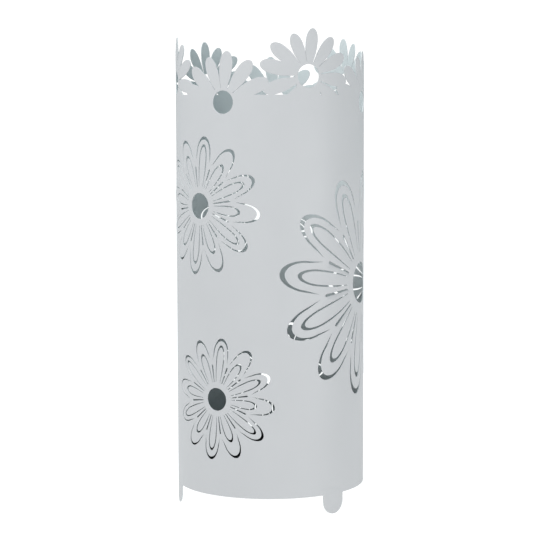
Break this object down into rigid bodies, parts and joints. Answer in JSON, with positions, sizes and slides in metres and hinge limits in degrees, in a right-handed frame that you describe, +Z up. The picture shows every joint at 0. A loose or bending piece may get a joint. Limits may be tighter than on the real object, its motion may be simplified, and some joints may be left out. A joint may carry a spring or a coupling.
{
  "type": "umbrella stand",
  "caption": "Cylindrical sheet-steel umbrella stand with flower cut-outs, a petalled rim, tab feet and a lift-out drip tray.",
  "frame": {"origin": "on the floor, in the middle of the stand, level with the ends of the three feet", "axes": "+Z up the wall of the stand; -Y is the side with the two small flowers on its left and the large one on its right"},
  "size_m": [0.24, 0.24, 0.6031],
  "materials": {
    "sheet_paint": "fine-textured pale grey powder coat",
    "tray_plastic": "black moulded plastic, fine grain"
  },
  "bodies": {
    "stand": {"shell": "sheet_paint", "seam_strip": "sheet_paint", "base_pan": "sheet_paint"},
    "tray": {"drip_tray": "tray_plastic"}
  },
  "joints": [
    {"name": "tray_lift", "type": "slide", "parent": "stand", "child": "tray", "axis": [0, 0, 1], "range_m": [0, 0.6]}
  ]
}
